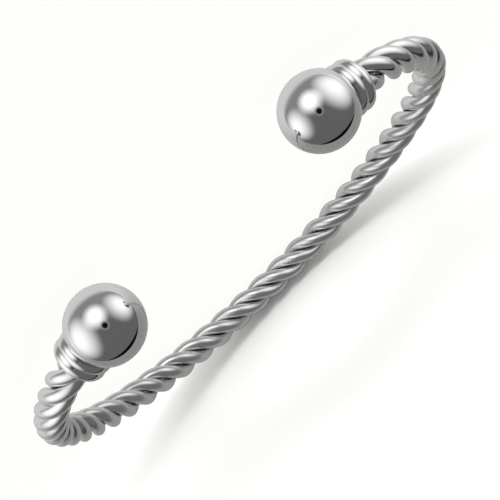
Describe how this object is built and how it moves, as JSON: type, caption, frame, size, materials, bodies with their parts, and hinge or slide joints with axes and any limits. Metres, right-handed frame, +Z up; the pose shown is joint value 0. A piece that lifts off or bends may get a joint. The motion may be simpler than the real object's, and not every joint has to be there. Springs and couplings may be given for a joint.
{
  "type": "torque bangle",
  "caption": "Open oval bangle of twisted round silver wires, with a ringed collar and a plain ball on each end, so that it springs on over a wrist.",
  "frame": {"origin": "on the surface that the bangle lies on, under the middle of its bounding box", "axes": "+X across the bangle, from the left ball's side to the right one's; +Y from the opening to the back; +Z up from the surface, through the wrist hole"},
  "size_m": [0.0674, 0.0582, 0.009],
  "materials": {
    "rope": "polished sterling silver, slightly soft from drawing and twisting, a little darker in the grooves",
    "collar": "bright polished sterling silver",
    "ball": "bright polished sterling silver"
  },
  "bodies": {
    "root": {"strand_1": "rope", "strand_2": "rope", "strand_3": "rope", "collar_left": "collar", "collar_right": "collar", "ball_left": "ball", "ball_right": "ball"}
  },
  "joints": []
}
